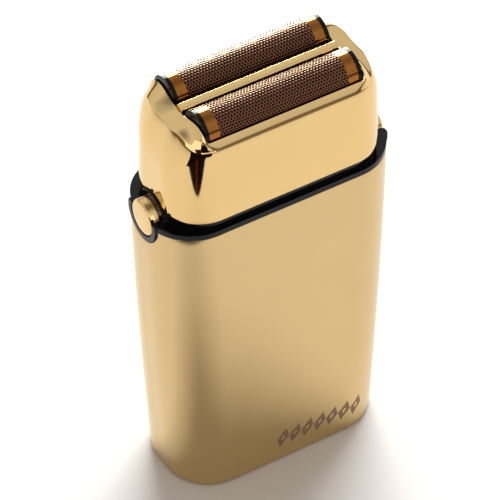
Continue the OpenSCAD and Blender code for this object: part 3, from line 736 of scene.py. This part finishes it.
def make_camera():
    """Camera on a sphere round the shaver, with a small shift of its frame."""
    roll = math.radians(CAMERA_ROLL)
    back, right = direction(CAMERA_AZ, CAMERA_EL), direction(CAMERA_AZ + 90, 0)
    up = back.cross(right)
    turned_right = math.cos(roll) * right + math.sin(roll) * up
    turned_up = math.cos(roll) * up - math.sin(roll) * right
    data = bpy.data.cameras.new("camera")
    data.sensor_width, data.lens = SENSOR, LENS
    data.shift_x, data.shift_y = SHIFT_X, SHIFT_Y
    data.clip_start, data.clip_end = 0.01, 20
    camera = link_object("camera", data)
    turn = Matrix((turned_right, turned_up, back)).transposed().to_4x4()
    place = (Vector((0, 0, CAMERA_AIM)) + back * CAMERA_REACH) * MM
    camera.matrix_world = Matrix.Translation(place) @ turn
    bpy.context.scene.camera = camera


def make_floor():
    """Plain pale floor."""
    corners = [(u * FLOOR_HALF, v * FLOOR_HALF, 0)
               for u, v in ((-1, -1), (1, -1), (1, 1), (-1, 1))]
    floor = new_object("floor", corners, [(0, 1, 2, 3)], finishes["floor_paint"], 35)


def make_key_light():
    """Large soft source high behind the shaver, which draws its shadow towards the camera."""
    data = bpy.data.lights.new("key_light", "AREA")
    data.shape = "RECTANGLE"
    data.size = data.size_y = KEY_SIZE * MM
    data.energy = KEY_POWER
    light = link_object("key_light", data)
    way = direction(KEY_AZ, KEY_EL)
    light.matrix_world = (Matrix.Translation(way * KEY_DISTANCE * MM)
                          @ way.to_track_quat("Z", "Y").to_matrix().to_4x4())
    light.visible_glossy = False


def make_card(name, azimuth, reach, outline, color):
    """An upright panel that only shows in reflections, as a studio's flags and reflectors do.
    The outline holds distances sideways from its middle and heights above the floor."""
    material = bpy.data.materials.new(name)
    material.use_nodes = True
    nodes, links = material.node_tree.nodes, material.node_tree.links
    nodes.remove(nodes["Principled BSDF"])
    glow = nodes.new("ShaderNodeEmission")
    glow.inputs["Color"].default_value = (*color, 1)
    links.new(glow.outputs["Emission"], nodes["Material Output"].inputs["Surface"])
    away, aside = direction(azimuth, 0) * reach, direction(azimuth + 90, 0)
    corners = [away + aside * u + Vector((0, 0, z)) for u, z in outline]
    card = new_object(name, corners, [tuple(range(len(corners)))], material, 35)
    card.visible_camera = card.visible_diffuse = False
    card.visible_shadow = card.visible_transmission = False


def panel(reach, middle, half, low, high):
    """Outline of a card that fills the given angles in degrees, seen from the head."""
    left, right = (math.tan(math.radians(a)) * reach for a in (middle - half, middle + half))
    bottom, top = (max(0.5, HEAD_EYE + math.tan(math.radians(a)) * reach) for a in (low, high))
    return [(left, bottom), (right, bottom), (right, top), (left, top)]


def flag_outline():
    """Outline of a dark flag with a rounded point at its foot."""
    sides = [FLAG_HALF * k / 8 for k in range(-8, 9)]
    foot = [(u, FLAG_FOOT + FLAG_DROP * abs(u / FLAG_HALF) ** FLAG_POWER) for u in sides]
    return foot + [(FLAG_HALF, FLAG_TOP), (-FLAG_HALF, FLAG_TOP)]


def make_cards():
    """The reflector behind the foils, and the flag, door and boxes in front of the head."""
    make_card("back_reflector", 180 + CAMERA_AZ, BACK_REACH,
              panel(BACK_REACH, BACK_MIDDLE, BACK_HALF, BACK_LOW, BACK_HIGH), BACK_COLOR)
    make_card("front_flag", FLAG_AZ, FLAG_REACH, flag_outline(), FLAG_COLOR)
    make_card("flag_stripe", FLAG_AZ, STRIPE_REACH, STRIPE_OUTLINE, STRIPE_COLOR)
    for name, middle, half, color in (("door", 0, DOOR_HALF, DOOR_COLOR),
                                      ("box_left", -BOX_MIDDLE, BOX_HALF, BOX_COLOR),
                                      ("box_right", BOX_MIDDLE, BOX_HALF, BOX_COLOR)):
        outline = panel(ROOM_REACH, middle, half, ROOM_LOW, ROOM_HIGH)
        make_card(name, FLAG_AZ, ROOM_REACH, outline, color)


def make_world():
    """The room: even light for the floor, SKY for reflections, and a pale backdrop."""
    world = bpy.data.worlds.new("studio")
    bpy.context.scene.world = world
    world.use_nodes = True
    nodes, links = world.node_tree.nodes, world.node_tree.links
    path = nodes.new("ShaderNodeLightPath")

    def background(color, strength=1.0):
        node = nodes.new("ShaderNodeBackground")
        node.inputs["Color"].default_value = (*color, 1)
        node.inputs["Strength"].default_value = strength
        return node

    def choose(ray, otherwise, when):
        node = nodes.new("ShaderNodeMixShader")
        links.new(path.outputs[ray], node.inputs["Fac"])
        links.new(otherwise.outputs[0], node.inputs[1])
        links.new(when.outputs[0], node.inputs[2])
        return node

    place = nodes.new("ShaderNodeTexCoord")
    split = nodes.new("ShaderNodeSeparateXYZ")
    links.new(place.outputs["Generated"], split.inputs["Vector"])
    sky = nodes.new("ShaderNodeValToRGB")
    links.new(split.outputs["Z"], sky.inputs["Fac"])
    elements = sky.color_ramp.elements
    while len(elements) < len(SKY):
        elements.new(1.0)
    for element, (elevation, color) in zip(elements, SKY):
        element.position = math.sin(math.radians(elevation))
        element.color = (*color, 1)
    mirrored = nodes["Background"]
    links.new(sky.outputs["Color"], mirrored.inputs["Color"])
    lit = choose("Is Glossy Ray", background(ROOM_COLOR, ROOM_STRENGTH), mirrored)
    shown = choose("Is Camera Ray", lit, background(BACKDROP))
    links.new(shown.outputs[0], nodes["World Output"].inputs["Surface"])


make_camera()
make_floor()
make_world()
make_key_light()
make_cards()

# ---- pieces ----

# Widths of the rounded edges on finished CAD nodes
EDGES = {
    "top_collar": 0.14, "divider_bar": 0.12, "foil_carrier_front": 0.2,
    "foil_carrier_rear": 0.2, "base_cap": 0.15, "power_slider": 0.15, "slider_track": 0.08,
    "charge_jack": 0.1, "base_screws": 0.06, "head_liner": 0.15, "drive_bridge_front": 0.12,
    "drive_bridge_rear": 0.12, "cutter_holder_front": 0.12, "cutter_holder_rear": 0.12,
    "post_seal_front": 0.12, "post_seal_rear": 0.12, "status_lens": 0.08,
}

settle(make_casing(etched_gold), "handle", "body_shell")
settle(make_head(finishes["mirror_gold"]), "head", "head_frame")
for where, hand, sign in SIDES:
    settle(make_foil("foil_sheet_" + where, sign, foil_metal), "foil_unit_" + where,
           "foil_" + where)
for where, hand, sign in SIDES:
    settle(make_button("button_" + hand, sign, finishes["mirror_gold"]), hand + "_button",
           "release_button_" + hand)

slots = {row["node"]: row["material_slot"] for row in frame["record"]["subparts"]}
body_of = {n: b for b, names in frame["record"]["behaviour"]["bodies"].items() for n in names}


def finish_of(node):
    """A node's finish: its slot's, or a darker one for the foils' caps and the blades; the blades'
    near-black colour is painted shade that darkens the foils' holes.
    """
    if node.startswith("foil_carrier"):
        return finishes["cap_black"]
    if node.startswith("cutter_blades"):
        return finishes["blade_steel"]
    return finishes[slots[node]]


for node, edge in EDGES.items():
    refine(node, body_of[node], finish_of(node), edge)
for where, hand, sign in SIDES:
    y, steel = sign * FOIL_Y, finishes["steel"]
    flexing("bridge_leaves_" + where, steel,
            (0, y, MOUNT_TOP), (0, y, YOKE_Z[where]))
    flexing("cutter_spring_" + where, steel,
            (0, y, SPRING_FOOT), (0, y, SPRING_TOP))
    flexing("button_spring_" + hand, steel,
            (sign * BEZEL_FLOOR, 0, BODY_H), (sign * BORE_END, 0, BODY_H))
for node, obj in frame["nodes"].items():
    obj.data.materials.clear()
    obj.data.materials.append(finish_of(node))

scene = bpy.context.scene
scene.view_settings.view_transform = "Standard"
scene.view_settings.look = "None"
scene.cycles.use_denoising = True
